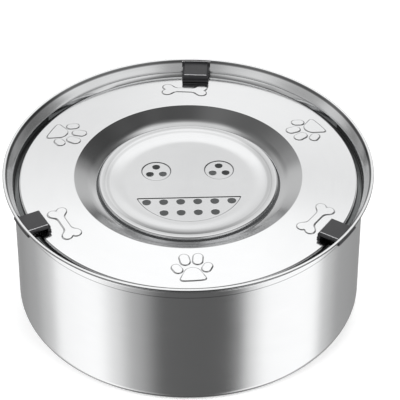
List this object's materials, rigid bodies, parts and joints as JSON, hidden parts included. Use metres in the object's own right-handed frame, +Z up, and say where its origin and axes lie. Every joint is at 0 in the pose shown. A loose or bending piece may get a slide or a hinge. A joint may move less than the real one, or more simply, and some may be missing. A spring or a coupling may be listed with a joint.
{
  "type": "no-spill pet water bowl",
  "caption": "Round steel water bowl with a splash ring held by sliding latches and a buoyant drinking plate that rides in the well of the ring.",
  "frame": {"origin": "centre of the flat face that the bowl stands on", "axes": "+Z up along the bowl; +Y towards the back latch, which is opposite the mouth-shaped row of drinking holes; +X to the right as seen from the front"},
  "size_m": [0.26, 0.26, 0.1104],
  "materials": {
    "steel": "fine brushed, satin",
    "latch_plastic": "moulded, satin",
    "float_plastic": "moulded, matt"
  },
  "bodies": {
    "bowl": {"bowl_shell": "steel", "splash_ring": "steel"},
    "float": {"float_plate": "steel", "float_tub": "float_plastic", "float_lid": "float_plastic"},
    "latch_back": {"latch_slide_back": "latch_plastic", "latch_grip_back": "latch_plastic"},
    "latch_left": {"latch_slide_left": "latch_plastic", "latch_grip_left": "latch_plastic"},
    "latch_right": {"latch_slide_right": "latch_plastic", "latch_grip_right": "latch_plastic"}
  },
  "joints": [
    {"name": "float_lift", "type": "slide", "parent": "bowl", "child": "float", "axis": [0, 0, 1], "range_m": [-0.074, 0], "stiffness_N_per_m": 65, "springref_m": 0.02},
    {"name": "latch_back_slide", "type": "slide", "parent": "bowl", "child": "latch_back", "axis": [0, 1, 0], "range_m": [0, 0.0095]},
    {"name": "latch_left_slide", "type": "slide", "parent": "bowl", "child": "latch_left", "axis": [-0.866, -0.5, 0], "range_m": [0, 0.0095]},
    {"name": "latch_right_slide", "type": "slide", "parent": "bowl", "child": "latch_right", "axis": [0.866, -0.5, 0], "range_m": [0, 0.0095]}
  ]
}
